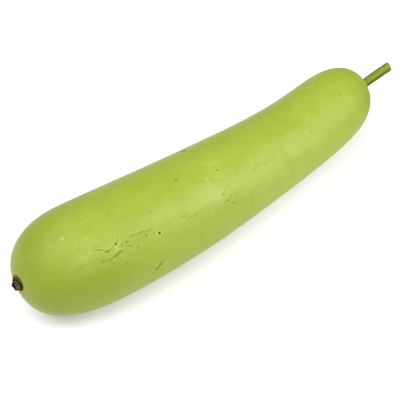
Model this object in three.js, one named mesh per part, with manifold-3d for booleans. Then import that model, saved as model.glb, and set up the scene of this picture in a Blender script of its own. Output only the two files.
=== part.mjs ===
// A long bottle gourd, as picked, lying on its side: the fruit, the cut length of stalk that
// it hung from, and the dried remnant of the flower at the other end.
//
// Millimetres, +Z up. The fruit lies along X, with the stem at +X, on the plane z = 0, and
// bends towards -Y. The origin is under the middle of its box.

import * as THREE from 'three';
import { mergeVertices } from 'three/addons/utils/BufferGeometryUtils.js';
import Module from 'manifold-3d';

// The fruit. A share runs from 0 at the blossom end to 1 at the stem end.
const fruitLength = 361.6;
const bellyRadius = 43.5;
const neckRadius = 32.1;
const taperStart = 0.18; // share where the belly begins to slim
const taperEnd = 0.98;
const shoulderSwell = 6.2; // the neck thickens again just before the stem
const shoulderShare = 0.97;
const shoulderSpread = 0.15;
const blossomCap = { share: 0.182, power: 2.39 }; // round end: its length, and how blunt it is
const stemCap = { share: 0.36, power: 3.3 };

// How its middle line runs.
const bendDepth = 15; // sideways bow of the middle line, towards -Y
const bendSkew = -0.24; // below 0, the bow is deeper in the blossom half
const neckTurn = -5.5; // the neck swings to -Y over its own half
const neckLift = 5; // and rises off the table
const toeTurn = -7; // the blossom end swings to -Y
const toeShare = 0.14; // over this share of the length
const restingSink = 0.6; // the skin is pressed flat this deep where it lies

// Low swellings in the skin: their height as a share of the radius, and how many radians of
// their wave go once round and once along.
const broadSwell = { height: 0.006, around: 2, along: 7, start: 0 };
const smallSwell = { height: 0.004, around: 3, along: -11, start: 1 };

// Raised collar of fruit around the stem.
const collarHeight = 1.5;
const collarSpread = 10;

// The stem: five ridges with nearly flat sides between them.
const stemLength = 43; // from the bottom of its seat to the cut
const stemRadius = 4.5; // at a ridge, near the fruit
const stemTipRadius = 4.85;
const stemFlare = 1.3; // added at the very base
const stemFlareReach = 4;
const stemRidges = 5;
const ridgeDepth = 0.19; // how far the sides lie inside the ridges, as a share
const stemBow = 0.8; // sideways drift of the tip
const cutSlant = -0.56; // slope of the cut across the stem
const cutBevel = { depth: 1.5, start: 0.4, facing: -1.95 }; // its one worn corner
const cutSlantOnset = 8; // the higher, the nearer the cut the rings begin to slant
const stemSeatDepth = 2;
const stemDrop = 0.5; // the stem stands this far below the middle of the fruit's end
const stemSide = -0.3;
const stemLean = new THREE.Vector3(1, 0.034, 0.094);
const stemRoll = 0.99; // radians, which way the ridges face

// The flower's remnant: a corky ring in the skin, with a shrivelled stub standing on it.
const ringRadius = 6.2;
const ringHeight = 0.7;
const grooveRadius = 4.7;
const stubRadius = 3.95;
const stubHeight = 2.2;
const stubLobes = { count: 5, depth: 0.11, start: 2.37 };
const stubOval = { count: 2, depth: 0.06, start: 0 };
const stubNotches = { count: 3, depth: 0.1, start: 2 }; // in the height of its edge
const stubLean = { x: -0.27, z: -0.64 }; // sideways drift of the stub for each millimetre of its height
const stubTilt = { slope: 0.36, facing: 2.53 }; // of its end, and which way the higher side lies
const remnantSeatDepth = 1.5;
const remnantOffset = new THREE.Vector3(0.3, 1.4, 7.5); // from the middle of the fruit's end
const remnantFacing = new THREE.Vector3(-1, -0.08, 0.21);

const seatGap = 0.3; // clearance between a seat in the fruit and what stands in it

const fruitRings = 56;
const fruitSides = 44;
const ringCrowding = 0.62; // draws the rings towards both ends
const stemSides = 40;
const stemRings = 12;
const stemRingCrowding = 1.5; // draws the rings towards the flare
const remnantSides = 40;

const skinMaterial = new THREE.MeshStandardMaterial({ color: 0xb0c750, roughness: 0.5, metalness: 0 });
const stemMaterial = new THREE.MeshStandardMaterial({ color: 0x87a02f, roughness: 0.7, metalness: 0 });
const remnantMaterial = new THREE.MeshStandardMaterial({ color: 0x4d3420, roughness: 0.9, metalness: 0 });

const wasm = await Module();
wasm.setup();

function bodyRadius(share) {
  const slimming = THREE.MathUtils.smoothstep(share, taperStart, taperEnd);
  const shoulder = shoulderSwell * Math.exp(-(((share - shoulderShare) / shoulderSpread) ** 2));
  return THREE.MathUtils.lerp(bellyRadius, neckRadius, slimming) + shoulder;
}

// 0 at the tip of a round end and 1 from the end's own length on.
function roundEnd(share, end) {
  const remaining = 1 - Math.min(share / end.share, 1);
  return Math.max(1 - remaining ** end.power, 0) ** (1 / end.power);
}

// The middle line of the fruit. The underside follows the table, so its height is the radius.
function middleLine(share) {
  const neck = Math.max(share - 0.5, 0) / 0.5;
  const toe = Math.max(1 - share / toeShare, 0);
  const bow = -bendDepth * 4 * share * (1 - share) * (1 + bendSkew * (2 * share - 1));
  return new THREE.Vector3(
    fruitLength * (share - 0.5),
    bow + neckTurn * neck ** 2 + toeTurn * toe ** 2,
    bodyRadius(share) - restingSink + neckLift * neck ** 2,
  );
}

// Half of the fruit's long section: its radius against its place along the length.
class FruitProfile extends THREE.Curve {
  getPoint(u, target = new THREE.Vector2()) {
    const share = 0.5 * (1 - Math.cos(Math.PI * u));
    const radius = bodyRadius(share) * roundEnd(share, blossomCap) * roundEnd(1 - share, stemCap);
    return target.set(radius, fruitLength * (share - 0.5));
  }
}

// Low, wide unevenness that dies out on the underside and at both ends.
function skinSwell(share, girth) {
  const wave = (swell) => swell.height * Math.sin(swell.around * girth + swell.along * share + swell.start);
  const awayFromTable = 0.5 * (1 - Math.cos(girth));
  return 1 + (wave(broadSwell) + wave(smallSwell)) * awayFromTable * Math.sin(Math.PI * share);
}

function fruitGeometry() {
  const profile = new FruitProfile();
  profile.arcLengthDivisions = 2000;
  const points = [];
  for (let i = 0; i <= fruitRings; i += 1) {
    const u = i / fruitRings;
    points.push(profile.getPointAt(u - (ringCrowding * Math.sin(2 * Math.PI * u)) / (2 * Math.PI)));
  }
  points[0].x = 0;
  points[fruitRings].x = 0;

  // The lathe turns about Y. Girth 0 is the underside, and a quarter turn on is the +Y side.
  const geometry = new THREE.LatheGeometry(points, fruitSides);
  const place = geometry.getAttribute('position');
  for (let i = 0; i < place.count; i += 1) {
    const share = THREE.MathUtils.clamp(place.getY(i) / fruitLength + 0.5, 0, 1);
    const girth = Math.atan2(place.getX(i), place.getZ(i));
    const radius = Math.hypot(place.getX(i), place.getZ(i)) * skinSwell(share, girth);
    const middle = middleLine(share);
    const collar = share > 0.5 ? collarHeight * Math.exp(-((radius / collarSpread) ** 2)) : 0;
    place.setXYZ(
      i,
      middle.x + collar,
      middle.y + radius * Math.sin(girth),
      Math.max(middle.z - radius * Math.cos(girth), 0),
    );
  }
  return geometry;
}

// The stem stands on Y = 0 and grows along Y. grow makes it fatter and deeper on all sides.
function stemGeometry(grow) {
  const points = [new THREE.Vector2(0, -grow), new THREE.Vector2(1, -grow)];
  for (let i = 1; i <= stemRings; i += 1) {
    points.push(new THREE.Vector2(1, stemLength * (i / stemRings) ** stemRingCrowding));
  }
  points.push(new THREE.Vector2(0, stemLength));

  const geometry = new THREE.LatheGeometry(points, stemSides);
  const place = geometry.getAttribute('position');
  for (let i = 0; i < place.count; i += 1) {
    const height = place.getY(i);
    const along = Math.max(height, 0) / stemLength;
    const rim = Math.hypot(place.getX(i), place.getZ(i)); // 0 on the axis, 1 on the side
    const turn = Math.atan2(place.getX(i), place.getZ(i));
    const ridge = 1 - ridgeDepth * Math.abs(Math.sin((stemRidges * turn) / 2));
    const flare = stemFlare * Math.exp(-((Math.max(height, 0) / stemFlareReach) ** 2));
    const radius = (THREE.MathUtils.lerp(stemRadius, stemTipRadius, along) + flare) * ridge + grow;
    const x = rim * radius * Math.sin(turn);
    const z = rim * radius * Math.cos(turn);
    const bevel = THREE.MathUtils.smoothstep(rim * Math.cos(turn - cutBevel.facing), cutBevel.start, 1);
    const slant = (cutSlant * z - cutBevel.depth * bevel) * along ** cutSlantOnset;
    place.setXYZ(i, x + stemBow * along ** 2, height + slant, z);
  }
  return geometry;
}

// The remnant's ring lies at Y = 0 and its stub grows along Y.
function remnantGeometry() {
  // Its half section: the ring with its bevels, the groove, then the waisted stub and its dip.
  const outline = [
    [0, -remnantSeatDepth],
    [ringRadius - 1, -remnantSeatDepth],
    [ringRadius, -0.4],
    [ringRadius, ringHeight * 0.4],
    [ringRadius - 0.5, ringHeight],
    [grooveRadius + 0.4, ringHeight],
    [grooveRadius, ringHeight * 0.3],
    [stubRadius * 0.95, ringHeight * 0.5],
    [stubRadius * 0.9, stubHeight * 0.55],
    [stubRadius, stubHeight * 0.85],
    [stubRadius * 0.9, stubHeight],
    [stubRadius * 0.5, stubHeight * 0.93],
    [0, stubHeight * 0.8],
  ];
  const points = outline.map(([radius, height]) => new THREE.Vector2(radius, height));

  const geometry = new THREE.LatheGeometry(points, remnantSides);
  const place = geometry.getAttribute('position');
  for (let i = 0; i < place.count; i += 1) {
    const x = place.getX(i);
    const height = place.getY(i);
    const z = place.getZ(i);
    const turn = Math.atan2(x, z);
    const standing = THREE.MathUtils.smoothstep(height, 0, stubHeight);
    const wave = (shape) => shape.depth * standing * Math.sin(shape.count * turn + shape.start);
    const across = 1 + wave(stubLobes) + wave(stubOval);
    const upwards = 1 + wave(stubNotches);
    const tilt = stubTilt.slope * Math.hypot(x, z) * Math.cos(turn - stubTilt.facing) * standing;
    const above = Math.max(height, 0);
    const driftX = stubLean.x * above;
    const driftZ = stubLean.z * above;
    place.setXYZ(i, x * across + driftX, height * upwards + tilt, z * across + driftZ);
  }
  return geometry;
}

// What the remnant's seat takes out of the fruit: a plain round plug.
function remnantSeatGeometry() {
  const radius = ringRadius + seatGap;
  const bottom = -remnantSeatDepth - seatGap;
  const outline = [[0, bottom], [radius, bottom], [radius, stubHeight], [0, stubHeight]];
  const points = outline.map(([across, height]) => new THREE.Vector2(across, height));
  return new THREE.LatheGeometry(points, remnantSides);
}

// Welds a geometry into one closed solid, without the empty triangles at a lathe's poles.
function solidFrom(geometry, matrix) {
  const bare = geometry.clone().applyMatrix4(matrix);
  bare.deleteAttribute('normal');
  bare.deleteAttribute('uv');
  const welded = mergeVertices(bare, 1e-4);
  const index = welded.getIndex().array;
  const triangles = [];
  for (let i = 0; i < index.length; i += 3) {
    const [a, b, c] = index.slice(i, i + 3);
    if (a !== b && b !== c && c !== a) triangles.push(a, b, c);
  }
  return new wasm.Manifold(
    new wasm.Mesh({
      numProp: 3,
      vertProperties: new Float32Array(welded.getAttribute('position').array),
      triVerts: new Uint32Array(triangles),
    }),
  );
}

function meshFrom(solid, name, material) {
  const result = solid.getMesh();
  const geometry = new THREE.BufferGeometry();
  geometry.setAttribute('position', new THREE.BufferAttribute(new Float32Array(result.vertProperties), 3));
  geometry.setIndex(new THREE.BufferAttribute(new Uint32Array(result.triVerts), 1));
  const mesh = new THREE.Mesh(geometry, material);
  mesh.name = name;
  return mesh;
}

// A frame at a point with its Y axis along a direction, rolled about that axis.
function standingAt(point, direction, roll) {
  const up = new THREE.Vector3(0, 1, 0);
  const turn = new THREE.Quaternion().setFromUnitVectors(up, direction.clone().normalize());
  turn.multiply(new THREE.Quaternion().setFromAxisAngle(up, roll));
  return new THREE.Matrix4().compose(point, turn, new THREE.Vector3(1, 1, 1));
}

const stemFoot = middleLine(1).add(new THREE.Vector3(collarHeight - stemSeatDepth, stemSide, -stemDrop));
const stemPlace = standingAt(stemFoot, stemLean, stemRoll);
const remnantFoot = middleLine(0).add(remnantOffset);
const remnantPlace = standingAt(remnantFoot, remnantFacing, 0);

const fruitSolid = solidFrom(fruitGeometry(), new THREE.Matrix4())
  .subtract(solidFrom(stemGeometry(seatGap), stemPlace))
  .subtract(solidFrom(remnantSeatGeometry(), remnantPlace));

const gourd = new THREE.Group();
gourd.add(meshFrom(fruitSolid, 'fruit', skinMaterial));
gourd.add(meshFrom(solidFrom(stemGeometry(0), stemPlace), 'stem', stemMaterial));
gourd.add(meshFrom(solidFrom(remnantGeometry(), remnantPlace), 'blossom_remnant', remnantMaterial));

const box = new THREE.Box3().setFromObject(gourd);
gourd.position.set(-(box.min.x + box.max.x) / 2, -(box.min.y + box.max.y) / 2, -box.min.z);

export default gourd;
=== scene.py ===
import math

import bmesh
import bpy
import numpy as np
from mathutils import Matrix, Quaternion, Vector, kdtree


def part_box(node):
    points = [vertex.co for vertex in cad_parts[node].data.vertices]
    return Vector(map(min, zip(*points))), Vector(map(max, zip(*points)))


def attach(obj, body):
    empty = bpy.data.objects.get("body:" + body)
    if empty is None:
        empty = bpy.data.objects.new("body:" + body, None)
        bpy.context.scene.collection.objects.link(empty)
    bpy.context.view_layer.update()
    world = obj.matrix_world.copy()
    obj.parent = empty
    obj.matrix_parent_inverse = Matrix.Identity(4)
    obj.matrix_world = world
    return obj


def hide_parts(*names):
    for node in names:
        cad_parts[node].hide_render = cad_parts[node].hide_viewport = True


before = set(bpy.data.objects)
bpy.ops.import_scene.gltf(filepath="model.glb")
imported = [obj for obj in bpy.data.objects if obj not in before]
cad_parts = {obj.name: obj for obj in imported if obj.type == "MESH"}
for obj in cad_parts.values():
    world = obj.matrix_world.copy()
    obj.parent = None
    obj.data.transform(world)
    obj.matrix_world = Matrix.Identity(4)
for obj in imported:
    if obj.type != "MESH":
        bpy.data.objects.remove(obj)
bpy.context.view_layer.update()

mm = 0.001


# A value in a node tree that adds and multiplies like a number, so that one formula below
# can shape a mesh in Geometry Nodes and also give plain numbers.
class Field:
    def __init__(self, tree, socket):
        self.tree = tree
        self.socket = socket

    def __add__(self, other):
        return mathNode(self.tree, "ADD", self, other)

    def __sub__(self, other):
        return mathNode(self.tree, "SUBTRACT", self, other)

    def __rsub__(self, other):
        return mathNode(self.tree, "SUBTRACT", other, self)

    def __mul__(self, other):
        return mathNode(self.tree, "MULTIPLY", self, other)

    def __truediv__(self, other):
        return mathNode(self.tree, "DIVIDE", self, other)

    def __rtruediv__(self, other):
        return mathNode(self.tree, "DIVIDE", other, self)

    def __pow__(self, other):
        return mathNode(self.tree, "POWER", self, other)

    def __rpow__(self, other):
        return mathNode(self.tree, "POWER", other, self)

    def __neg__(self):
        return self * -1

    def clip(self, low, high):
        return mathNode(self.tree, "MINIMUM", mathNode(self.tree, "MAXIMUM", self, low), high)

    __radd__ = __add__
    __rmul__ = __mul__


def wire(tree, value, socket):
    if isinstance(value, Field):
        tree.links.new(value.socket, socket)
    elif value is not None:
        socket.default_value = value


def mathNode(tree, operation, *values):
    node = tree.nodes.new("ShaderNodeMath")
    node.operation = operation
    for value, socket in zip(values, node.inputs):
        wire(tree, value, socket)
    return Field(tree, node.outputs[0])


def sine(x):
    return mathNode(x.tree, "SINE", x)


def cosine(x):
    return mathNode(x.tree, "COSINE", x)


def absolute(x):
    return mathNode(x.tree, "ABSOLUTE", x)


def vectorNode(tree, operation, *values, output="Vector"):
    node = tree.nodes.new("ShaderNodeVectorMath")
    node.operation = operation
    for value, socket in zip(values, node.inputs):
        wire(tree, value, socket)
    return Field(tree, node.outputs[output])


def scaled(vector, amount):
    node = vector.tree.nodes.new("ShaderNodeVectorMath")
    node.operation = "SCALE"
    wire(vector.tree, vector, node.inputs[0])
    wire(vector.tree, amount, node.inputs["Scale"])
    return Field(vector.tree, node.outputs[0])


def split(vector):
    node = vector.tree.nodes.new("ShaderNodeSeparateXYZ")
    wire(vector.tree, vector, node.inputs[0])
    return [Field(vector.tree, socket) for socket in node.outputs]


def joined(tree, x, y, z):
    node = tree.nodes.new("ShaderNodeCombineXYZ")
    for value, socket in zip((x, y, z), node.inputs):
        wire(tree, value, socket)
    return Field(tree, node.outputs[0])


# Noise from 0 to 1. size is about how wide one patch of it is, in metres.
def noise(tree, place, size, detail=2, roughness=0.5, distortion=0):
    node = tree.nodes.new("ShaderNodeTexNoise")
    wire(tree, place, node.inputs["Vector"])
    node.inputs["Scale"].default_value = 1 / size
    node.inputs["Detail"].default_value = detail
    node.inputs["Roughness"].default_value = roughness
    node.inputs["Distortion"].default_value = distortion
    return Field(tree, node.outputs["Fac"])


# Distance to the nearest of many scattered points, 0 at a point and about 1 between them, or
# with DISTANCE_TO_EDGE to the nearest border between two of them.
def cells(tree, place, size, feature="F1"):
    node = tree.nodes.new("ShaderNodeTexVoronoi")
    node.feature = feature
    wire(tree, place, node.inputs["Vector"])
    node.inputs["Scale"].default_value = 1 / size
    return Field(tree, node.outputs["Distance"])


def smoothStep(x, low, high):
    t = ((x - low) / (high - low)).clip(0, 1)
    return t * t * (3 - 2 * t)


def bell(x):  # 1 at 0, gone by about 2
    return math.e ** -(x ** 2)


def bothWays(x):  # noise from 0 to 1, as -1 to 1
    return (x - 0.5) * 2


# Geometry trees

# A tree with one input for each size. Gives the tree, its geometry and its sizes.
def geometryTree(name, sizes):
    tree = bpy.data.node_groups.new(name, "GeometryNodeTree")
    tree.interface.new_socket("Geometry", in_out="INPUT", socket_type="NodeSocketGeometry")
    tree.interface.new_socket("Geometry", in_out="OUTPUT", socket_type="NodeSocketGeometry")
    for key in sizes:
        tree.interface.new_socket(key, in_out="INPUT", socket_type="NodeSocketFloat")
    given = tree.nodes.new("NodeGroupInput")
    values = {key: Field(tree, given.outputs[key]) for key in sizes}
    return tree, Field(tree, given.outputs["Geometry"]), values


# One geometry node. Its geometry goes into the first socket, and a socket's name is written
# with _ for a space.
def geometryNode(tree, kind, geometry=None, settings=None, output=0, **inputs):
    node = tree.nodes.new("GeometryNode" + kind)
    for key, value in (settings or {}).items():
        setattr(node, key, value)
    if geometry is not None:
        wire(tree, geometry, node.inputs[0])
    for key, value in inputs.items():
        wire(tree, value, node.inputs[key.replace("_", " ")])
    return Field(tree, node.outputs[output])


def position(tree):
    return geometryNode(tree, "InputPosition")


def stored(tree, geometry, name, value):
    settings = {"data_type": "FLOAT", "domain": "POINT"}
    return geometryNode(tree, "StoreNamedAttribute", geometry, settings, Name=name, Value=value)


def named(tree, name):
    return geometryNode(tree, "InputNamedAttribute", None, {"data_type": "FLOAT"}, Name=name)


def finishTree(tree, geometry, material):
    geometry = geometryNode(tree, "SetShadeSmooth", geometry)
    geometry = geometryNode(tree, "RealizeInstances", geometry)
    geometry = geometryNode(tree, "SetMaterial", geometry, Material=material)
    result = tree.nodes.new("NodeGroupOutput")
    tree.links.new(geometry.socket, result.inputs[0])


# Runs a tree on a piece and leaves a plain mesh, moved to its place in the object.
def made(piece, tree, sizes, place):
    modifier = piece.modifiers.new(tree.name, "NODES")
    modifier.node_group = tree
    for item in tree.interface.items_tree:
        if item.in_out == "INPUT" and item.name in sizes:
            modifier[item.identifier] = float(sizes[item.name])
    bpy.context.view_layer.update()
    graph = bpy.context.evaluated_depsgraph_get()
    mesh = bpy.data.meshes.new_from_object(
        piece.evaluated_get(graph), preserve_all_data_layers=True, depsgraph=graph
    )
    piece.modifiers.remove(modifier)
    finish = [material for material in mesh.materials if material][0]
    mesh.materials.clear()  # joining can leave an empty slot
    mesh.materials.append(finish)
    mesh.transform(place)
    piece.data = mesh
    print(piece.name, len(mesh.polygons), "faces")
    return piece


def newObject(name, data):
    piece = bpy.data.objects.new(name, data)
    bpy.context.scene.collection.objects.link(piece)
    return piece


# A flat sheet of quads that a tree wraps round a piece. x and z come from the rows, y is the turn.
def sheetObject(name, rows, sides):
    rows = np.asarray(rows, float)
    places = np.zeros((len(rows), sides + 1, 3))
    places[..., 0] = rows[:, None, 0]
    places[..., 1] = np.linspace(0, 2 * math.pi, sides + 1)
    places[..., 2] = rows[:, None, 1]
    corner = np.arange(len(rows) * (sides + 1)).reshape(len(rows), sides + 1)
    quads = np.stack([corner[:-1, :-1], corner[:-1, 1:], corner[1:, 1:], corner[1:, :-1]], -1)
    mesh = bpy.data.meshes.new(name)
    mesh.from_pydata(places.reshape(-1, 3).tolist(), [], quads.reshape(-1, 4).tolist())
    return newObject(name, mesh)


# Points along an outline, one at each corner and about a step apart between them.
def evenOutline(outline, step):
    outline = np.asarray(outline, float)
    gaps = np.linalg.norm(np.diff(outline, axis=0), axis=1)
    places = [outline[0]]
    for start, end, gap in zip(outline[:-1], outline[1:], gaps):
        count = max(math.ceil(gap / step), 1)
        places += [start + (end - start) * k / count for k in range(1, count + 1)]
    return np.array(places)


# The place of a piece that stands on a point, with its Y axis along a direction.
def standingAt(foot, direction, roll):
    turn = Vector((0, 1, 0)).rotation_difference(Vector(direction).normalized())
    turn = turn @ Quaternion((0, 1, 0), roll)
    return Matrix.Translation(foot) @ turn.to_matrix().to_4x4()


# Materials

def colour(red, green, blue):  # 0 to 255, as a screen shows it
    parts = [value / 255 for value in (red, green, blue)]
    return [v / 12.92 if v < 0.04045 else ((v + 0.055) / 1.055) ** 2.4 for v in parts] + [1]


def mixed(tree, amount, first, second, blend="MIX"):
    node = tree.nodes.new("ShaderNodeMix")
    node.data_type = "RGBA"
    node.blend_type = blend
    wire(tree, amount, node.inputs[0])
    wire(tree, first, node.inputs[6])
    wire(tree, second, node.inputs[7])
    return Field(tree, node.outputs[2])


def attribute(tree, name):
    node = tree.nodes.new("ShaderNodeAttribute")
    node.attribute_name = name
    return Field(tree, node.outputs["Fac"])


# A material, its tree, its shader and the place on the piece.
def newMaterial(name):
    material = bpy.data.materials.new(name)
    material.use_nodes = True
    tree = material.node_tree
    shader = tree.nodes["Principled BSDF"]
    place = Field(tree, tree.nodes.new("ShaderNodeTexCoord").outputs["Object"])
    return material, tree, shader, place


# Sets what is the same all over a surface, on the shader's own sockets.
def setShader(shader, values):
    for name, value in values.items():
        shader.inputs[name].default_value = value


def bumped(tree, shader, height, distance):
    node = tree.nodes.new("ShaderNodeBump")
    node.inputs["Distance"].default_value = distance
    wire(tree, height, node.inputs["Height"])
    tree.links.new(node.outputs[0], shader.inputs["Normal"])


# The fruit. A share runs from 0 at the blossom end to 1 at the stem end.

gourd = {
    "length": 361.6 * mm,
    "belly": 43.5 * mm,
    "neck": 32.1 * mm,
    "taperStart": 0.18,
    "taperEnd": 0.98,
    "shoulderSwell": 6.2 * mm,
    "shoulderShare": 0.97,
    "shoulderSpread": 0.15,
    "blossomCapShare": 0.182,
    "blossomCapPower": 2.39,
    "stemCapShare": 0.36,
    "stemCapPower": 3.3,
    "bend": 15 * mm,
    "bendSkew": -0.24,
    "neckTurn": -5.5 * mm,
    "neckLift": 5 * mm,
    "toeTurn": -7 * mm,
    "toeShare": 0.14,
    "restingSink": 0.6 * mm,
    "broadSwell": 0.006,
    "smallSwell": 0.004,
    "collarHeight": 1.5 * mm,
    "collarSpread": 10 * mm,
    "collarRidge": 0.35 * mm,
    "dimpling": 0.1 * mm,
}
# Each swelling's wave: how many times once round, radians once along, and where it starts.
broadWave = {"around": 2, "along": 7, "start": 0}
smallWave = {"around": 3, "along": -11, "start": 1}
skinMesh = {
    "step": 1.45 * mm,
    "sides": 188,
    "closed": 0.01 * mm,  # points nearer than this are merged, at the seam and the ends
    "reaches": (2.2, 1.1, 0.5),  # mm round a mark within which edges are split, once for each
    "dimpleSize": 22 * mm,
    "outlinePoints": 20001,  # that the sheet's rows are spaced by
    "linePoints": 4001,  # that the fruit's width is measured by
}
# Where the skin meets the stalk and the flower's scar.
skinEnds = {
    "ridgeMiddle": 9 * mm,  # from the stalk's axis
    "ridgeReach": 5 * mm,
    "stemHalf": (0.5, 0.6),  # shares over which the collar comes in
    "scarRing": 6.2 * mm,
    "scarReach": 12 * mm,
    "scarDepth": 0.2 * mm,  # behind the ring's plane
    "blossomPart": (0.1, 0.2),  # shares over which the scar's pull goes out
    "tanSide": (0.65, 0.76),  # the way from the scar, up and to the front, that stays green
}


def bodyRadius(share, g):
    slimming = smoothStep(share, g["taperStart"], g["taperEnd"])
    shoulder = bell((share - g["shoulderShare"]) / g["shoulderSpread"])
    return g["belly"] + (g["neck"] - g["belly"]) * slimming + g["shoulderSwell"] * shoulder


def roundEnd(share, capShare, power):
    left = 1 - (share / capShare).clip(0, 1)
    return (1 - left ** power).clip(0, 1) ** (1 / power)


def fruitRadius(share, g):
    blossomEnd = roundEnd(share, g["blossomCapShare"], g["blossomCapPower"])
    stemEnd = roundEnd(1 - share, g["stemCapShare"], g["stemCapPower"])
    return bodyRadius(share, g) * blossomEnd * stemEnd


def middleLine(share, g):
    neck = ((share - 0.5) * 2).clip(0, 1) ** 2
    toe = (1 - share / g["toeShare"]).clip(0, 1) ** 2
    bow = g["bend"] * -4 * share * (1 - share) * (1 + g["bendSkew"] * (2 * share - 1))
    x = g["length"] * (share - 0.5)
    y = bow + g["neckTurn"] * neck + g["toeTurn"] * toe
    z = bodyRadius(share, g) - g["restingSink"] + g["neckLift"] * neck
    return x, y, z


# The stalk and the flower's remnant stand on the fruit's two ends. Turns are radians.

stalk = {
    "length": 43 * mm,
    "radius": 4.5 * mm,
    "tipRadius": 4.85 * mm,
    "flare": 1.3 * mm,
    "flareReach": 4 * mm,
    "ridges": 5,
    "ridgeDepth": 0.19,
    "bow": 0.8 * mm,
    "cutSlant": -0.56,
    "cutBevel": 1.5 * mm,
    "bevelTurn": 1.95,
    "fibreDepth": 0.09 * mm,
    "lumpDepth": 0.25 * mm,
    "pithDip": 0.5 * mm,
    "bundleRing": 0.62,
    "bundleSize": 0.42 * mm,
}
stalkStand = {
    "sunk": 2 * mm,
    "side": -0.3 * mm,
    "drop": 0.5 * mm,
    "lean": (1, 0.034, 0.094),
    "roll": 0.99,
}

remnantRound = {  # mm
    "ring": 6.2,
    "ringHeight": 0.7,
    "groove": 4.7,
    "stub": 3.95,
    "stubHeight": 2.2,
    "sunk": 1.5,
}
remnant = {
    "height": remnantRound["stubHeight"] * mm,
    "lobeDepth": 0.11,
    "lobeTurn": 0.8,
    "ovalDepth": 0.06,
    "notchDepth": 0.1,
    "notchTurn": 2,
    "lean": 0.27,
    "sag": 0.64,
    "tilt": 0.36,
    "tiltTurn": 2.53,
    "crumple": 0.3 * mm,
    "crackDepth": 0.35 * mm,
}
remnantStand = {"inset": 0.3 * mm, "side": 1.4 * mm, "rise": 7.5 * mm, "facing": (-1, -0.08, 0.21)}


def stalkFoot():
    x, y, z = middleLine(np.float64(1), gourd)
    x += gourd["collarHeight"] - stalkStand["sunk"]
    return Vector((x, y + stalkStand["side"], z - stalkStand["drop"]))


def remnantFoot():
    x, y, z = middleLine(np.float64(0), gourd)
    return Vector((x + remnantStand["inset"], y + remnantStand["side"], z + remnantStand["rise"]))


# Marks on the skin. Places are millimetres along from the blossom end and degrees round from
# the underside, so that 180 is the top and 270 the front.
# Each scratch: half width and depth in mm, how dark, below 0 for a pale one, and its route.
scratches = [
    (0.44, 0.08, 0.55, [
        (51.1, 217.6), (52.6, 218.1), (54.6, 218.6), (55.1, 220.6), (56.6, 220.6), (58.1, 221.6),
    ]),
    (0.63, 0.14, 0.78, [(57.6, 223.6), (59.6, 224.6), (62.1, 223.6)]),
    (0.40, 0.10, 0.55, [(62.1, 223.6), (63.1, 223.1), (65.6, 222.1), (66.6, 221.7)]),
    (0.80, 0.10, 0.85, [(67, 221.6), (68.6, 220.6)]),
    (0.40, 0.10, 0.50, [(69, 220.3), (70.6, 218.6)]),
    (0.40, 0.08, 0.49, [(70.6, 218.6), (72.1, 216.1)]),
    (0.40, 0.10, 0.70, [(57.6, 232.6), (59.6, 232.6), (61.1, 232.8)]),
    (0.94, 0.08, 0.42, [(61.1, 232.6), (64.1, 232.1), (66.6, 230.6), (71.6, 229.1)]),
    (0.47, 0.10, 0.62, [(72.6, 222.6), (71.1, 225.6)]),
    (0.44, 0.10, 0.59, [(78.8, 221.6), (80.3, 221.6), (81.8, 220.6), (86.4, 221.6)]),
    (0.54, 0.12, 0.42, [(86.4, 221.6), (91, 222.1), (93, 223.6)]),
    (0.40, 0.10, 0.47, [(93, 223.6), (95, 224.1), (98.5, 223.6)]),
    (0.94, 0.05, 0.42, [(74.1, 223.1), (77.2, 224.6)]),
    (0.44, 0.12, 0.50, [(74.1, 227.1), (76.7, 228.6), (79.3, 230.6)]),
    (0.40, 0.10, 0.52, [(80.8, 233.6), (82.3, 234.1), (83.8, 232.6)]),
    (0.38, 0.05, 0.31, [(49.1, 220.6), (50.1, 223.6), (51.1, 227.6), (51.6, 230.1)]),
    (0.38, 0.05, 0.31, [(72.1, 231.6), (73.1, 234.6), (74.7, 239.1)]),
    (0.40, 0.10, 0.43, [(123, 228.6), (126.5, 227.6), (129.4, 228.6)]),
    (0.40, 0.10, 0.43, [(128.5, 232.1), (133.4, 232.6), (136.9, 232.6), (140.9, 230.6)]),
    (0.80, 0.25, 0.95, [(90.9, 270.2), (92.9, 268.7)]),
    (0.60, 0.15, 0.70, [(92.9, 268.7), (94.2, 267.5)]),
    (1.30, 0.15, 0.62, [(94.2, 267.5), (96.6, 265.3)]),
    (0.50, 0.05, 0.45, [(97.3, 264.6), (99, 263)]),
    (0.85, 0.10, 0.48, [(166, 228), (168.4, 229.4)]),
    (0.85, 0.10, 0.50, [(171.2, 242.5), (174, 243.4)]),
    (0.94, 0.04, 0.39, [(140.3, 188.1), (138.4, 188.8), (136, 190.1)]),
    (0.63, 0.15, 0.78, [(154.8, 293.5), (161.3, 288.5)]),
    (1.15, 0.10, 1.50, [(166.9, 145.6), (169.9, 149.1)]),
    (1.00, 0.03, -0.40, [(54.9, 186.9), (60.4, 186.9)]),
    (0.85, 0.03, -0.45, [
        (155.3, 199.8), (158.2, 200.1), (160.4, 203.1), (160.8, 207.8), (159.9, 212.8),
    ]),
    (0.70, 0.03, -0.42, [(165.9, 183.1), (169, 185.1), (170.4, 189.6), (171.9, 194.6)]),
]
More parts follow.
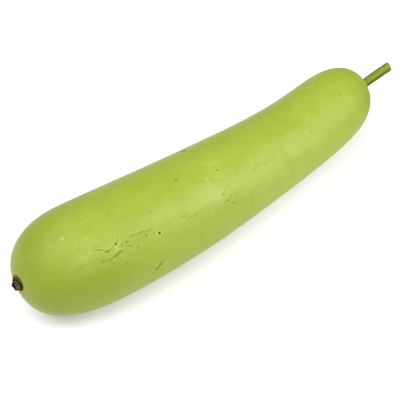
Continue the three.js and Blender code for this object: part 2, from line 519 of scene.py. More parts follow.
# Each spot: its place, radius in mm and how dark, below 0 for a pale one.
spots = [
    (102.5, 231.1, 1.12, 1.00), (173.9, 200.6, 1.00, 0.60), (104.5, 207.1, 0.88, 0.45),
    (110, 173.6, 0.75, 0.60), (69.1, 244.2, 1.25, 0.33), (69, 271, 1.12, 0.35),
    (318.1, 203.6, 1.00, 0.60), (168.5, 237.3, 1.05, 0.50), (40.1, 193.1, 0.75, 0.35),
    (8.8, 181.6, 1.62, 0.12), (111.2, 256.8, 1.00, 0.30), (92, 227.1, 1.12, 0.40),
    (273.1, 220.6, 0.75, 0.40), (202.8, 214.1, 0.75, 0.40), (272.6, 278, 0.75, 0.40),
    (167.1, 255.8, 0.75, 0.40), (166.2, 264.9, 0.75, 0.40), (130, 241.6, 0.75, 0.35),
    (170.4, 224, 0.85, 0.35), (172.7, 234, 0.85, 0.28), (89, 273, 1.12, 0.35),
    (98.9, 262.9, 0.62, 0.40), (53.6, 231.6, 1.12, 0.45), (37.3, 191.6, 1.60, -0.70),
    (50.6, 204.3, 1.60, -0.40), (72.6, 217.1, 0.88, -0.70), (58.6, 230.6, 0.88, -0.70),
    (61.6, 234.6, 0.88, -0.60), (91.5, 154.6, 0.75, -0.40), (66.9, 226.2, 1.70, -0.75),
    (64.8, 228.2, 1.30, -0.50),
]
# Broad patches: place along and around, reach along and across in mm, and how much paler,
# below 0 for deeper.
patches = [
    (300, 170, 34, 26, 0.45), (39, 211, 24, 16, 0.25), (48, 255, 34, 20, -0.6),
    (4, 262, 14, 22, 0.3), (352, 236, 16, 27, -0.9), (342, 262, 24, 24, -0.5),
    (75, 138, 60, 10, -0.7), (125, 194, 24, 12, -0.1), (27, 223, 9, 9, -0.3),
    (165, 185, 30, 14, 0.2), (341, 176, 12, 14, -0.3), (25, 177, 14, 14, -0.35),
]
# Where the skin is whitish, given the same way: partly real scuffs, partly a painted highlight
# along the band where the gloss falls.
hazeAndSheenPatches = [
    (46, 222, 16, 9, 0.4), (78, 224, 16, 9, 0.15), (113, 219, 22, 11, 0.2),
    (160, 222, 20, 12, 0.4), (205, 228, 30, 16, 0.25), (255, 232, 32, 16, 0.22),
    (66, 226, 5, 4, 0.9),
]
markShape = {
    "step": 0.2,  # mm between the points of a scratch
    "wander": 0.22,  # mm along and degrees round
    "girthRadius": 42,  # mm, turns degrees round into a distance
    "swayRates": (1.7, 4.1),  # radians for each mm, along the gourd
    "secondSway": 0.6,
    "driftRate": 2.3,  # the same round the gourd
    "widthRate": 3.1,
    "widthChange": 0.3,
    "tip": 0.15,  # mm
    "tipPower": 0.4,
    "spotDepth": 0.1,  # for each mm of radius, where the spot's tone is 1
    "lipHeight": 0.35,  # as a share of the depth
    "lipPlace": 1.8,  # in half widths from the middle
    "lipWidth": 0.6,
    "farthest": 9,  # half widths, the most that is stored
    "seed": 11,
}


# Every mark as points close together: place, half width, depth and tone.
def markRows():
    m = markShape
    draw = np.random.default_rng(m["seed"])
    perDegree = math.radians(m["girthRadius"])
    slowSway, fastSway = m["swayRates"]
    rows = []
    for halfWidth, depth, tone, route in scratches:
        route = np.array(route, float)
        gaps = np.hypot(np.diff(route[:, 0]), np.diff(route[:, 1]) * perDegree)
        runs = np.concatenate([[0], np.cumsum(gaps)])
        at = np.linspace(0, runs[-1], max(int(runs[-1] / m["step"]), 2))
        ends = np.sin(np.pi * (at + m["tip"]) / (runs[-1] + 2 * m["tip"])) ** m["tipPower"]
        start = draw.uniform(0, 6.28, 4)
        sway = np.sin(at * slowSway + start[0])
        sway += m["secondSway"] * np.sin(at * fastSway + start[1])
        drift = np.sin(at * m["driftRate"] + start[2])
        along = np.interp(at, runs, route[:, 0]) + m["wander"] * sway
        around = np.interp(at, runs, route[:, 1]) + m["wander"] * drift
        change = m["widthChange"] * np.sin(at * m["widthRate"] + start[3])
        rows += zip(along, around, halfWidth * ends * (1 + change), depth * ends, at * 0 + tone)
    for along, around, radius, tone in spots:
        rows.append((along, around, radius, m["spotDepth"] * radius * max(tone, 0), tone))
    return np.array(rows)


def markObject(rows):
    mesh = bpy.data.meshes.new("skinMarks")
    places = np.zeros((len(rows), 3))
    places[:, 0] = rows[:, 0] * mm / gourd["length"]
    places[:, 1] = np.radians(rows[:, 1])
    mesh.from_pydata(places.tolist(), [], [])
    columns = {"halfWidth": rows[:, 2] * mm, "depth": rows[:, 3] * mm, "tone": rows[:, 4]}
    for name, values in columns.items():
        column = mesh.attributes.new(name, "FLOAT", "POINT")
        column.data.foreach_set("value", values.astype(np.float32))
    return newObject("skinMarks", mesh)


# How strongly a list of broad patches shows at a point of the skin.
def patchField(here, listed):
    x, y, z = split(here)
    total = 0
    for along, around, reachAlong, reachAcross, amount in listed:
        share = np.float64(along * mm / gourd["length"])
        girth = math.radians(around)
        middleX, middleY, middleZ = middleLine(share, gourd)
        radius = fruitRadius(share, gourd)
        dx = (x - float(middleX)) / (reachAlong * mm)
        dy = (y - float(middleY + radius * math.sin(girth))) / (reachAcross * mm)
        dz = (z - float(middleZ - radius * math.cos(girth))) / (reachAcross * mm)
        total = math.e ** -(dx ** 2 + dy ** 2 + dz ** 2) * amount + total
    return total


# Shares of the length at even steps along the fruit's outline.
def evenShares():
    share = 0.5 - 0.5 * np.cos(np.linspace(0, math.pi, skinMesh["outlinePoints"]))
    outline = np.stack([gourd["length"] * share, fruitRadius(share, gourd)], axis=1)
    runs = np.concatenate([[0], np.cumsum(np.linalg.norm(np.diff(outline, axis=0), axis=1))])
    return np.interp(np.linspace(0, runs[-1], int(runs[-1] / skinMesh["step"])), runs, share)


# Splits the sheet's edges wherever a mark runs close by.
def refineNearMarks(mesh, rows):
    perShare = gourd["length"] / mm
    perDegree = math.radians(markShape["girthRadius"])
    marks = kdtree.KDTree(len(rows))
    for k, row in enumerate(rows):
        marks.insert((row[0], row[1] * perDegree, 0), k)
    marks.balance()
    work = bmesh.new()
    work.from_mesh(mesh)
    for reach in skinMesh["reaches"]:
        near = []
        for edge in work.edges:
            middle = (edge.verts[0].co + edge.verts[1].co) / 2
            found = marks.find((middle.x * perShare, math.degrees(middle.y) * perDegree, 0))
            if found[2] - rows[found[1], 2] < reach:
                near.append(edge)
        bmesh.ops.subdivide_edges(work, edges=near, cuts=1, use_grid_fill=True)
    bmesh.ops.triangulate(work, faces=[face for face in work.faces if len(face.verts) > 4])
    work.to_mesh(mesh)
    work.free()


def gourdSkinTree(material, marks):
    tree, sheet, g = geometryTree("gourdSkin", gourd)
    share, girth, _ = split(position(tree))
    x, y, z = middleLine(share, g)

    def wave(w):
        return sine(w["around"] * girth + w["along"] * share + w["start"])

    swell = g["broadSwell"] * wave(broadWave) + g["smallSwell"] * wave(smallWave)
    offTable = 0.5 - 0.5 * cosine(girth)
    radius = fruitRadius(share, g) * (1 + swell * offTable * sine(share * math.pi))
    height = mathNode(tree, "MAXIMUM", z - radius * cosine(girth), 0)
    side = y + radius * sine(girth)

    # the collar, and the stalk's ridges running out over it
    foot = stalkFoot()
    dy, dz = side - foot.y, height - foot.z
    fromStalk = (dy ** 2 + dz ** 2) ** 0.5
    atStemEnd = smoothStep(share, *skinEnds["stemHalf"])
    aroundStalk = mathNode(tree, "ARCTAN2", -dy, dz) - stalkStand["roll"]
    ridgeBand = bell((fromStalk - skinEnds["ridgeMiddle"]) / skinEnds["ridgeReach"])
    ridges = g["collarRidge"] * cosine(aroundStalk * stalk["ridges"]) * ridgeBand
    collar = (g["collarHeight"] * bell(radius / g["collarSpread"]) + ridges) * atStemEnd

    # the skin meets the remnant's ring all round
    foot = remnantFoot()
    facing = remnantStand["facing"]
    dy, dz = side - foot.y, height - foot.z
    fromScar = (dy ** 2 + dz ** 2) ** 0.5
    ringPlane = foot.x + dy * facing[1] + dz * facing[2] + skinEnds["scarDepth"]
    drawn = 1 - smoothStep(fromScar, skinEnds["scarRing"], skinEnds["scarReach"])
    drawn = drawn * (1 - smoothStep(share, *skinEnds["blossomPart"]))
    onFruit = joined(tree, x + collar + (ringPlane - x) * drawn, side, height)

    skin = geometryNode(tree, "SetPosition", sheet, Position=onFruit)
    skin = geometryNode(tree, "MergeByDistance", skin, Distance=skinMesh["closed"])
    markGeometry = geometryNode(tree, "ObjectInfo", output="Geometry", Object=marks)
    points = geometryNode(tree, "SetPosition", markGeometry, Position=onFruit)

    here = position(tree)
    nearest = geometryNode(tree, "SampleNearest", points, Sample_Position=here)

    def atNearest(value, kind="FLOAT"):
        settings = {"data_type": kind}
        return geometryNode(tree, "SampleIndex", points, settings, Value=value, Index=nearest)

    away = vectorNode(tree, "DISTANCE", here, atNearest(here, "FLOAT_VECTOR"), output="Value")
    reach = away / atNearest(named(tree, "halfWidth"))
    lip = markShape["lipHeight"] * bell((reach - markShape["lipPlace"]) / markShape["lipWidth"])
    groove = atNearest(named(tree, "depth")) * (lip - bell(reach))
    skin = stored(tree, skin, "markReach", reach.clip(0, markShape["farthest"]))
    skin = stored(tree, skin, "markTone", atNearest(named(tree, "tone")))
    skin = stored(tree, skin, "paleness", patchField(here, patches))
    skin = stored(tree, skin, "haze", patchField(here, hazeAndSheenPatches))
    _, dy, dz = split(vectorNode(tree, "SUBTRACT", here, tuple(remnantFoot())))
    aboveScar, asideScar = skinEnds["tanSide"]
    skin = stored(tree, skin, "pastScar", dz * aboveScar - dy * asideScar)
    for name, foot in (("fromScar", remnantFoot()), ("fromStalk", stalkFoot())):
        distance = vectorNode(tree, "DISTANCE", here, tuple(foot), output="Value")
        skin = stored(tree, skin, name, distance)
    dimple = bothWays(noise(tree, here, skinMesh["dimpleSize"], 1)) * g["dimpling"]
    lift = scaled(geometryNode(tree, "InputNormal"), groove + dimple)
    px, py, pz = split(vectorNode(tree, "ADD", here, lift))
    rested = joined(tree, px, py, mathNode(tree, "MAXIMUM", pz, 0))
    skin = geometryNode(tree, "SetPosition", skin, Position=rested)
    finishTree(tree, skin, material)
    return tree


skinTones = {
    "deep": colour(95, 117, 0),
    "pale": colour(147, 160, 56),
    "fleck": colour(170, 180, 100),
    # whitish scuffs, and a painted highlight along the gloss band
    "haze": colour(172, 184, 124),
    "tan": colour(146, 142, 76),  # round the flower's scar
    "greenAndShade": colour(116, 137, 0),  # greener round the stalk, and darker there as painted shade round the stalk's foot
    "scuff": colour(168, 178, 96),  # pale marks, and the rims of dark ones
    "shade": colour(255, 255, 0),  # takes the blue out of the skin under a dark mark
    "healed": colour(58, 70, 0),
}
# Each layer of mottling: its size, whether it is drawn out lengthwise, and its strength.
mottling = {
    "broad": {"size": 45 * mm, "stretched": False, "detail": 2, "strength": 0.6},
    "patch": {"size": 14 * mm, "stretched": False, "detail": 3, "strength": 0.9},
    "streak": {"size": 5 * mm, "stretched": True, "detail": 2, "strength": 0.5},
    "grain": {"size": 1.3 * mm, "stretched": False, "detail": 2, "strength": 0.3},
}
# How the tones are laid on. Here and below, a pair of numbers without a note is where a thing
# begins and where it is full.
skinPaint = {
    "streakStretch": 0.12,  # along the gourd
    "detail": 0.6,  # how strong the finer noise is
    "middle": 0.55,
    "spread": 3,  # divides the mottling
    "patchAmount": (0.4, 1.2),  # the least, and what the mottling adds
    "fleckSize": 2.4 * mm,
    "fleckEdge": (0.1, 0.28),
    "fleckAmount": 0.12,
    "hazeEdge": (0.7, 1.1),
    "hazeAmount": 0.5,
    "tanReach": (6 * mm, 12 * mm),  # full up to the first, gone at the second
    "tanEdge": (2 * mm, 6 * mm),
    "tanAmount": (0.3, 0.6),  # the least, and what the mottling adds
    # greener skin round the stalk, partly painted shade round its foot
    "greenShadeReach": (8 * mm, 36 * mm),  # the same, from the stalk
    "greenShadeAmount": 0.6,
}
# How the marks are painted. Edges are half widths from a mark's middle.
markPaint = {
    "raggedSize": 0.7 * mm,
    "ragged": 1.1,
    "edge": (0.55, 1.35),
    "rim": 1.9,
    "rimEdge": (0.1, 0.9),
    "rimAmount": 0.35,
    "scuffAmount": 0.6,
    "healedAmount": 0.95,
}
skinFinish = {
    "roughness": 0.45,
    "patchRoughness": 0.1,
    "markRoughness": 0.4,
    "stalkRoughness": 0.4,  # less waxy near the stalk
    "stalkReach": (18 * mm, 50 * mm),  # full up to the first, gone at the second
    "shader": {
        "Specular IOR Level": 0.19,
        "Subsurface Weight": 0.1,  # light that passes through the outer flesh
        "Subsurface Radius": (0.8, 1.0, 0.3),
        "Subsurface Scale": 4 * mm,
    },
    "poreSize": 3 * mm,
    "poreDepth": 0.12 * mm,
    "bumps": (0.5, 0.25, 0.1),  # shares of pores, grain and flecks
}


def skinMaterial():
    material, tree, shader, place = newMaterial("gourdSkin")
    p, f = skinPaint, skinFinish
    x, y, z = split(place)
    lengthwise = joined(tree, x * p["streakStretch"], y, z)
    layer = {}
    tone = p["middle"]
    for name, part in mottling.items():
        where = lengthwise if part["stretched"] else place
        layer[name] = noise(tree, where, part["size"], part["detail"], p["detail"])
        tone = tone + (layer[name] - 0.5) * part["strength"]
    patch, streak, grain = layer["patch"], layer["streak"], layer["grain"]
    least, added = p["patchAmount"]
    tone = tone + attribute(tree, "paleness") * (least + patch * added)
    amount = (tone / p["spread"] + 0.5).clip(0, 1)
    base = mixed(tree, amount, skinTones["deep"], skinTones["pale"])
    fleck = 1 - smoothStep(cells(tree, place, p["fleckSize"]), *p["fleckEdge"])
    base = mixed(tree, fleck * p["fleckAmount"], base, skinTones["fleck"])
    # whitish scuffs, partly a painted highlight along the gloss band
    haze = attribute(tree, "haze").clip(0, 1) * smoothStep(patch + streak, *p["hazeEdge"])
    base = mixed(tree, haze * p["hazeAmount"], base, skinTones["haze"])

    # tan skin beside the flower's scar, and round the stalk a greener tone that is partly painted
    # shade round the stalk's foot
    nearScar = 1 - smoothStep(attribute(tree, "fromScar"), *p["tanReach"])
    tanSide = 1 - smoothStep(attribute(tree, "pastScar"), *p["tanEdge"])
    least, added = p["tanAmount"]
    base = mixed(tree, nearScar * tanSide * (least + patch * added), base, skinTones["tan"])
    fromStalk = attribute(tree, "fromStalk")
    nearStalk = 1 - smoothStep(fromStalk, *p["greenShadeReach"])
    base = mixed(tree, nearStalk * p["greenShadeAmount"], base, skinTones["greenAndShade"])

    # marks with a ragged edge and a pale rim
    m = markPaint
    ragged = (noise(tree, place, m["raggedSize"], 2, p["detail"]) - 0.5) * m["ragged"]
    edge = attribute(tree, "markReach") + ragged
    inMark = 1 - smoothStep(edge, *m["edge"])
    rim = (1 - smoothStep(absolute(edge - m["rim"]), *m["rimEdge"])) * m["rimAmount"]
    markTone = attribute(tree, "markTone")
    dark = (markTone.clip(0, 1) * inMark).clip(0, 1)
    pale = ((-markTone).clip(0, 1) * inMark + markTone.clip(0, 1) * rim).clip(0, 1)
    base = mixed(tree, pale * m["scuffAmount"], base, skinTones["scuff"])
    base = mixed(tree, dark, base, skinTones["shade"], "MULTIPLY")
    base = mixed(tree, dark * m["healedAmount"], base, skinTones["healed"])
    tree.links.new(base.socket, shader.inputs["Base Color"])

    dull = (1 - smoothStep(fromStalk, *f["stalkReach"])) * f["stalkRoughness"]
    roughness = f["roughness"] + (patch - 0.5) * f["patchRoughness"]
    roughness = roughness + dark * f["markRoughness"] + dull
    tree.links.new(roughness.socket, shader.inputs["Roughness"])
    setShader(shader, f["shader"])
    pores = noise(tree, place, f["poreSize"], 3, p["detail"])
    poreShare, grainShare, fleckShare = f["bumps"]
    bumps = pores * poreShare + grain * grainShare + fleck * fleckShare
    bumped(tree, shader, bumps, f["poreDepth"])
    return material


# How far the frame stands from the fruit's own middle.
def frameShift():
    share = np.linspace(0, 1, skinMesh["linePoints"])
    _, y, _ = middleLine(share, gourd)
    radius = fruitRadius(share, gourd)
    low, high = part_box("fruit")
    middleY = ((y - radius).min() + (y + radius).max()) / 2
    return Vector((low.x + gourd["length"] / 2, (low.y + high.y) / 2 - middleY, 0))


def buildFruit(shift):
    rows = markRows()
    marks = markObject(rows)
    shares = evenShares()
    skin = sheetObject("fruitSkin", np.stack([shares, shares * 0], axis=1), skinMesh["sides"])
    refineNearMarks(skin.data, rows)
    made(skin, gourdSkinTree(skinMaterial(), marks), gourd, Matrix.Translation(shift))
    bpy.data.objects.remove(marks)
    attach(skin, "root")
    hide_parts("fruit")


# The stalk

stalkMesh = {"step": 0.3 * mm, "sides": 150, "cutEdge": 0.35 * mm, "closed": 0.005 * mm}
stalkGrain = {
    "fibre": 0.8 * mm,
    "stretch": 0.04,  # of the fibres, along the stalk
    "lump": 6 * mm,
    "ridgeRound": 0.012,  # blunts the ridges
    "pithShare": 0.4,
    "cutPart": (0.995, 1),  # of the length, over which the pith's dip comes in
    "cutPower": 8,  # how near the cut the slant and the bevel begin
    "bevelPart": (0.4, 1),  # of the way to the worn corner
    "facetRate": 2.4,  # makes neighbouring facets differ in tone; the darkest stand for painted shade on the stalk's lower side
    "vessels": 10,
    "vesselStray": (0.2, 0.04),  # round the cut in radians, and across it
    "vesselRates": (2.3, 1.7),  # radians from one vessel to the next
    "vesselShape": (1, 0.35, 1.25),
}


# Where the stalk's surface is: along its length from 0 to 1, round it, and rim from 0 on the
# axis to 1 on the side.
def stalkSurface(tree, along, turn, rim, s):
    h = along * s["length"]
    hollow = (sine(turn * s["ridges"] * 0.5) ** 2 + stalkGrain["ridgeRound"]) ** 0.5
    ridge = 1 - s["ridgeDepth"] * hollow
    flare = s["flare"] * bell(h / s["flareReach"])
    radius = (s["radius"] + (s["tipRadius"] - s["radius"]) * along + flare) * ridge
    across, back = cosine(turn) * radius, sine(turn) * radius
    drawnOut = joined(tree, across, h * stalkGrain["stretch"], back)
    fibre = bothWays(noise(tree, drawnOut, stalkGrain["fibre"], 2, 0.6)) * s["fibreDepth"]
    lump = bothWays(noise(tree, joined(tree, across, h, back), stalkGrain["lump"], 1))
    radius = (radius + fibre + lump * s["lumpDepth"]) * rim
    onCut = smoothStep(along, *stalkGrain["cutPart"])
    dip = s["pithDip"] * bell(rim / stalkGrain["pithShare"]) * onCut
    x = radius * sine(turn) + s["bow"] * along ** 2
    z = radius * cosine(turn)
    corner = cosine(turn + s["bevelTurn"]) * rim
    bevel = s["cutBevel"] * smoothStep(corner, *stalkGrain["bevelPart"])
    slant = (s["cutSlant"] * z - bevel) * along ** stalkGrain["cutPower"]
    place = joined(tree, x, h - dip + slant, z)
    return place, hollow


def stalkTree(material):
    tree, sheet, s = geometryTree("stalk", stalk)
    along, turn, rim = split(position(tree))
    place, hollow = stalkSurface(tree, along, turn, rim, s)
    side = stored(tree, sheet, "rim", rim)
    side = stored(tree, side, "along", along)
    side = stored(tree, side, "hollow", hollow)
    facet = mathNode(tree, "FLOOR", turn / (2 * math.pi) * s["ridges"])
    # painted shade: a darker tone on some facets, standing for the shade on the stalk's lower side
    side = stored(tree, side, "facetTone", 0.5 + 0.5 * cosine(facet * stalkGrain["facetRate"]))
    side = geometryNode(tree, "SetPosition", side, Position=place)
    side = geometryNode(tree, "MergeByDistance", side, Distance=stalkMesh["closed"])

    # the ring of sap vessels that shows on the cut end
    vessels = geometryNode(tree, "MeshLine", Count=stalkGrain["vessels"])
    index = geometryNode(tree, "InputIndex")
    strayTurn, strayRim = stalkGrain["vesselStray"]
    turnRate, rimRate = stalkGrain["vesselRates"]
    evenTurn = index * (2 * math.pi / stalkGrain["vessels"])
    vesselTurn = evenTurn + strayTurn * sine(index * turnRate)
    vesselRim = s["bundleRing"] + strayRim * sine(index * rimRate)
    vesselPlace, _ = stalkSurface(tree, index * 0 + 1, vesselTurn, vesselRim, s)
    vessels = geometryNode(tree, "SetPosition", vessels, Position=vesselPlace)
    bead = geometryNode(tree, "MeshIcoSphere", Radius=s["bundleSize"], Subdivisions=2)
    shape = joined(tree, *stalkGrain["vesselShape"])
    vessels = geometryNode(tree, "InstanceOnPoints", vessels, Instance=bead, Scale=shape)
    vessels = geometryNode(tree, "RealizeInstances", vessels)
    vessels = stored(tree, vessels, "rim", s["bundleRing"])
    vessels = stored(tree, vessels, "along", 1.1)  # past 1, which the material knows them by
    both = tree.nodes.new("GeometryNodeJoinGeometry")
    tree.links.new(vessels.socket, both.inputs[0])
    tree.links.new(side.socket, both.inputs[0])
    finishTree(tree, Field(tree, both.outputs[0]), material)
    return tree


stalkTones = {
    "green": colour(96, 112, 10),
    "dullGreen": colour(114, 126, 50),
    "fibre": colour(128, 138, 80),
    # painted shade on the stalk's lower facets
    "shadedFacet": colour(78, 93, 0),
    "ridge": colour(56, 66, 0),
    "nearCut": colour(122, 132, 70),
    "base": colour(126, 140, 58),
    "pith": colour(168, 170, 128),
    "cutRim": colour(128, 138, 76),
    "vessel": colour(96, 94, 46),
}
stalkPaint = {
    "fibreSize": 0.6 * mm,
    "fibreStretch": 0.06,
    "fibreEdge": (0.5, 0.72),
    "fibreAmount": 0.5,
    "patchSize": 3 * mm,
    "patchStretch": 0.5,
    "patchEdge": (0.38, 0.62),
    "facetAmount": 1.1,
    "ridgeEdge": (0.12, 0.35),
    "ridgeAmount": 0.6,
    "nearCutPart": (0.8, 1),  # of the length
    "nearCutAmount": 0.3,
    "basePart": (0.05, 0.16),
    "baseAmount": 0.6,
    "cutPart": (0.997, 1),
    "rindPart": (0.86, 0.95),  # of the rim
    "pithPart": (0.3, 0.75),
    "vesselPart": (1.02, 1.08),
    "shader": {"Roughness": 0.6, "Specular IOR Level": 0.04},
    "grainSize": 0.35 * mm,
    "grainAmount": 0.5,
    "grainDepth": 0.1 * mm,
}


def stalkMaterial():
    material, tree, shader, place = newMaterial("stalk")
    tones, p = stalkTones, stalkPaint
    x, y, z = split(place)
    fibres = noise(tree, joined(tree, x * p["fibreStretch"], y, z), p["fibreSize"], 3, 0.65)
    patch = noise(tree, joined(tree, x * p["patchStretch"], y, z), p["patchSize"], 3, 0.6)
    along = attribute(tree, "along")
    hollow = attribute(tree, "hollow")
    rim = attribute(tree, "rim")
    base = mixed(tree, smoothStep(patch, *p["patchEdge"]), tones["green"], tones["dullGreen"])
    onFibre = smoothStep(fibres, *p["fibreEdge"]) * p["fibreAmount"]
    base = mixed(tree, onFibre, base, tones["fibre"])
    # painted shade on the darker facets, with tone that differs from facet to facet
    shadedFacet = (attribute(tree, "facetTone") * p["facetAmount"]).clip(0, 1)
    base = mixed(tree, shadedFacet, base, tones["shadedFacet"])
    onRidge = (1 - smoothStep(hollow, *p["ridgeEdge"])) * p["ridgeAmount"]
    base = mixed(tree, onRidge, base, tones["ridge"])
    nearCut = smoothStep(along, *p["nearCutPart"]) * p["nearCutAmount"]
    base = mixed(tree, nearCut, base, tones["nearCut"])
    atBase = (1 - smoothStep(along, *p["basePart"])) * p["baseAmount"]
    base = mixed(tree, atBase, base, tones["base"])
    onCut = smoothStep(along, *p["cutPart"]) * (1 - smoothStep(rim, *p["rindPart"]))
    pith = mixed(tree, smoothStep(rim, *p["pithPart"]), tones["pith"], tones["cutRim"])
    base = mixed(tree, onCut, base, pith)
    base = mixed(tree, smoothStep(along, *p["vesselPart"]), base, tones["vessel"])
    tree.links.new(base.socket, shader.inputs["Base Color"])
    setShader(shader, p["shader"])
    grain = noise(tree, place, p["grainSize"], 2, 0.6) * p["grainAmount"]
    bumped(tree, shader, fibres + grain, p["grainDepth"])
    return material


def buildStalk(shift):
    edge = stalkMesh["cutEdge"]
    length, radius = stalk["length"], stalk["tipRadius"]
    outline = [(0, 0), (0, radius), (length - edge, radius)]
    for degrees in range(15, 91, 15):  # the cut's rounded edge
        angle = math.radians(degrees)
        along = length - edge + edge * math.sin(angle)
        outline.append((along, radius - edge + edge * math.cos(angle)))
    outline.append((length, 0))
    rows = evenOutline(outline, stalkMesh["step"]) / (length, radius)
    piece = sheetObject("stalkSide", rows, stalkMesh["sides"])
    place = standingAt(stalkFoot() + shift, stalkStand["lean"], stalkStand["roll"])
    made(piece, stalkTree(stalkMaterial()), stalk, place)
    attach(piece, "root")
    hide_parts("stem")


# The dried remnant of the flower

remnantMesh = {"step": 0.2, "sides": 110, "closed": 0.002 * mm}  # step in mm
# Which way each side of it faces, in radians from the top towards +Y.
remnantSides = {"upperSide": 0.7, "lowerSide": 2.6, "underSide": 3.5}
remnantGrain = {
    "lobes": 5,
    "notches": 3,
    "axis": 2 * mm,  # the notches come in between the axis and here
    "crumple": 2.2 * mm,
    "crack": 1.8 * mm,
    "crackWidth": 0.09,  # as a share of the crack's size
    "buried": (-0.3 * mm, 0.6 * mm),  # the crumpling comes in over these heights
}


def remnantTree(material):
    tree, sheet, r = geometryTree("flowerRemnant", remnant)
    out, turn, lift = split(position(tree))
    standing = smoothStep(lift, 0, r["height"])
    oval = r["ovalDepth"] * sine(2 * turn)
    lobe = r["lobeDepth"] * cosine(remnantGrain["lobes"] * turn + r["lobeTurn"])
    lobes = 1 + standing * (lobe + oval)
    offAxis = smoothStep(out, 0, remnantGrain["axis"])
    notchWave = sine(remnantGrain["notches"] * turn + r["notchTurn"])
    notch = 1 + r["notchDepth"] * standing * offAxis * notchWave
    above = mathNode(tree, "MAXIMUM", lift, 0)
    sideways = out * sine(turn) * lobes - r["lean"] * above
    upward = out * cosine(turn) * lobes - r["sag"] * above
    tilt = r["tilt"] * out * cosine(turn - r["tiltTurn"]) * standing
    place = joined(tree, sideways, lift * notch + tilt, upward)
    stub = stored(tree, sheet, "out", out)
    stub = stored(tree, stub, "lift", lift)
    for name, facing in remnantSides.items():
        stub = stored(tree, stub, name, cosine(turn - facing))
    stub = geometryNode(tree, "SetPosition", stub, Position=place)
    stub = geometryNode(tree, "MergeByDistance", stub, Distance=remnantMesh["closed"])

    here = position(tree)
    crumple = bothWays(noise(tree, here, remnantGrain["crumple"], 3, 0.6, 0.4)) * r["crumple"]
    toCrack = cells(tree, here, remnantGrain["crack"], "DISTANCE_TO_EDGE")
    crack = bell(toCrack / remnantGrain["crackWidth"]) * r["crackDepth"]
    amount = (crumple - crack * standing) * smoothStep(lift, *remnantGrain["buried"])
    offset = scaled(geometryNode(tree, "InputNormal"), amount)
    stub = geometryNode(tree, "SetPosition", stub, Offset=offset)
    finishTree(tree, stub, material)
    return tree


remnantTones = {
    "reddish": colour(60, 33, 20),
    "greyBrown": colour(112, 96, 72),
    "burnt": colour(20, 8, 4),
    "darkSide": colour(24, 12, 5),
    "brownSide": colour(62, 38, 20),
    "brown": colour(66, 48, 8),
    "gold": colour(118, 98, 40),
    # painted shade of the groove between the stub and the fruit
    "shadedOlive": colour(44, 46, 0),
    "greenSide": colour(142, 146, 80),
    "dust": colour(122, 106, 80),
}
remnantPaint = {
    "patchSize": 1.6 * mm,
    "fineSize": 0.5 * mm,
    "facePatches": (0.42, 0.62),
    "faceLift": (1.3 * mm, 1.8 * mm),
    "burntReach": 4 * mm,  # from the axis
    "burntLower": 0.5,  # further in on the lower side
    "burntRagged": 0.4,
    "burntEdge": (0.6, 0.92),
    "sidePatches": (0.4, 0.65),
    "goldPatches": (0.36, 0.6),
    "aboveRagged": 0.5,
    "aboveEdge": (0, 0.5),
    "belowRagged": 0.2,
    "belowEdge": (0.72, 0.86),
    "stubLift": (0.38 * mm, 0.5 * mm),
    "stubReach": 4.5 * mm,
    "stubSoft": 0.1 * mm,
    "dustEdge": (0.58, 0.8),
    "dustAmount": 0.3,
    "shader": {"Roughness": 0.8, "Specular IOR Level": 0.06},
    "grainDepth": 0.15 * mm,
}


def remnantMaterial():
    material, tree, shader, place = newMaterial("flowerRemnant")
    tones, p = remnantTones, remnantPaint
    out, lift = attribute(tree, "out"), attribute(tree, "lift")
    upper, lower, under = (attribute(tree, name) for name in remnantSides)
    patch = noise(tree, place, p["patchSize"], 3, 0.65)
    fine = noise(tree, place, p["fineSize"], 3, 0.65)

    # the stub: a grey-brown face with reddish patches and a rim burnt nearly black
    facePatch = smoothStep(patch, *p["facePatches"])
    face = mixed(tree, facePatch, tones["reddish"], tones["greyBrown"])
    ragged = (fine - 0.5) * p["burntRagged"]
    burnt = smoothStep(out / p["burntReach"] + lower * p["burntLower"] + ragged, *p["burntEdge"])
    face = mixed(tree, burnt, face, tones["burnt"])
    sidePatch = smoothStep(patch, *p["sidePatches"])
    side = mixed(tree, sidePatch, tones["darkSide"], tones["brownSide"])
    stub = mixed(tree, smoothStep(lift, *p["faceLift"]), side, face)

    # the corky ring: gold-brown and flecked above, dark olive at the side as painted shade of the
    # groove by the stub, green below
    gold = mixed(tree, smoothStep(fine, *p["goldPatches"]), tones["brown"], tones["gold"])
    above = smoothStep(upper + (patch - 0.5) * p["aboveRagged"], *p["aboveEdge"])
    below = smoothStep(under + (patch - 0.5) * p["belowRagged"], *p["belowEdge"])
    ring = mixed(tree, above, tones["shadedOlive"], gold)
    ring = mixed(tree, below, ring, tones["greenSide"])
    inStub = smoothStep(p["stubReach"] - out, 0, p["stubSoft"])
    base = mixed(tree, smoothStep(lift, *p["stubLift"]) * inStub, ring, stub)
    base = mixed(tree, smoothStep(fine, *p["dustEdge"]) * p["dustAmount"], base, tones["dust"])
    tree.links.new(base.socket, shader.inputs["Base Color"])
    setShader(shader, p["shader"])
    bumped(tree, shader, fine + patch, p["grainDepth"])
    return material


def buildRemnant(shift):
    r = remnantRound
    ring, ringHeight = r["ring"], r["ringHeight"]
    stub, stubHeight = r["stub"], r["stubHeight"]
    outline = [  # mm from the axis, and up
        (0, -r["sunk"]),
        (ring - 1, -r["sunk"]),
        (ring, -0.4),
        (ring, 0.4 * ringHeight),
        (ring - 0.5, ringHeight),
        (r["groove"] + 0.4, ringHeight),
        (r["groove"], 0.3 * ringHeight),
        (0.95 * stub, 0.5 * ringHeight),
        (0.9 * stub, 0.55 * stubHeight),
        (stub, 0.85 * stubHeight),
        (0.9 * stub, stubHeight),
        (0.5 * stub, 0.93 * stubHeight),
        (0, 0.8 * stubHeight),
    ]
    rows = evenOutline(outline, remnantMesh["step"]) * mm
    piece = sheetObject("flowerRemnant", rows, remnantMesh["sides"])
    place = standingAt(remnantFoot() + shift, remnantStand["facing"], 0)
    made(piece, remnantTree(remnantMaterial()), remnant, place)
    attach(piece, "root")
    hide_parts("blossom_remnant")


# Floor, light and camera

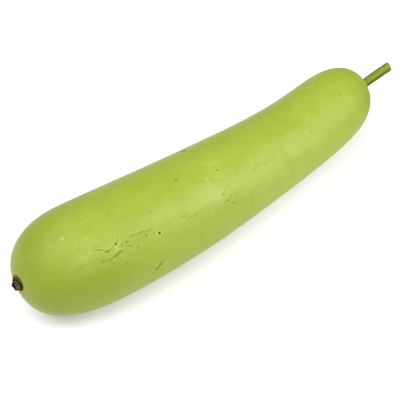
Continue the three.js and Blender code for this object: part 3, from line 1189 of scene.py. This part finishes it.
studio = {
    "lens": 85,
    "turn": -39.24,  # degrees round from the front
    "height": 48,  # degrees above the floor
    "distance": 793.8 * mm,
    "aim": (-0.58 * mm, -16.62 * mm, 36 * mm),  # right, up, and over the floor
    "floor": 8,  # metres along each side
    "floorShader": {
        "Base Color": (0.8, 0.79, 0.84, 1),
        "Emission Color": (1, 1, 1, 1),
        "Emission Strength": 0.16,  # softens the shadow
        "Roughness": 0.9,
        "Specular IOR Level": 0.1,
    },
    "sky": 0.37,
}
# Each softbox: its power, size, distance and where it stands, as degrees round from the front
# and above the floor.
softboxes = {
    "keyLight": {"power": 29, "size": (0.9, 1.6), "distance": 1.6, "turn": 38, "height": 37},
    "topLight": {"power": 28, "size": (1.4, 1.4), "distance": 1.6, "turn": -112, "height": 67},
}


# A direction turned from the front and raised from the floor.
def directionTo(turn, height):
    turn, height = math.radians(turn), math.radians(height)
    level = math.cos(height)
    return Vector((math.sin(turn) * level, -math.cos(turn) * level, math.sin(height)))


# An object at a place with its Z axis along back and its X axis level.
def facingFrom(thing, back, place):
    right = Vector((0, 0, 1)).cross(back).normalized()
    thing.location = place
    thing.rotation_euler = Matrix((right, back.cross(right), back)).transposed().to_euler()
    return right, back.cross(right)


def buildStudio(shift):
    half = studio["floor"] / 2
    mesh = bpy.data.meshes.new("floor")
    corners = [(-half, -half, 0), (half, -half, 0), (half, half, 0), (-half, half, 0)]
    mesh.from_pydata(corners, [], [(0, 1, 2, 3)])
    floor = newObject("floor", mesh)
    material, _, shader, _ = newMaterial("floor")
    setShader(shader, studio["floorShader"])
    mesh.materials.append(material)

    world = bpy.data.worlds.new("studio")
    world.use_nodes = True
    world.node_tree.nodes["Background"].inputs[0].default_value = (1, 1, 1, 1)
    world.node_tree.nodes["Background"].inputs[1].default_value = studio["sky"]
    bpy.context.scene.world = world

    for name, box in softboxes.items():
        lamp = bpy.data.lights.new(name, "AREA")
        lamp.shape = "RECTANGLE"
        lamp.size, lamp.size_y = box["size"]
        lamp.energy = box["power"]
        back = directionTo(box["turn"], box["height"])
        facingFrom(newObject(name, lamp), back, back * box["distance"])

    lens = bpy.data.cameras.new("camera")
    lens.lens = studio["lens"]
    lens.sensor_width = 36
    camera = newObject("camera", lens)
    back = directionTo(studio["turn"], studio["height"])
    right, up = facingFrom(camera, back, (0, 0, 0))
    aimRight, aimUp, aimHeight = studio["aim"]
    aim = Vector((shift.x, shift.y, aimHeight)) + right * aimRight + up * aimUp
    camera.location = aim + back * studio["distance"]
    bpy.context.scene.camera = camera
    bpy.context.scene.view_settings.view_transform = "Standard"
    print("studio ready")


shift = frameShift()
buildFruit(shift)
buildStalk(shift)
buildRemnant(shift)
buildStudio(shift)
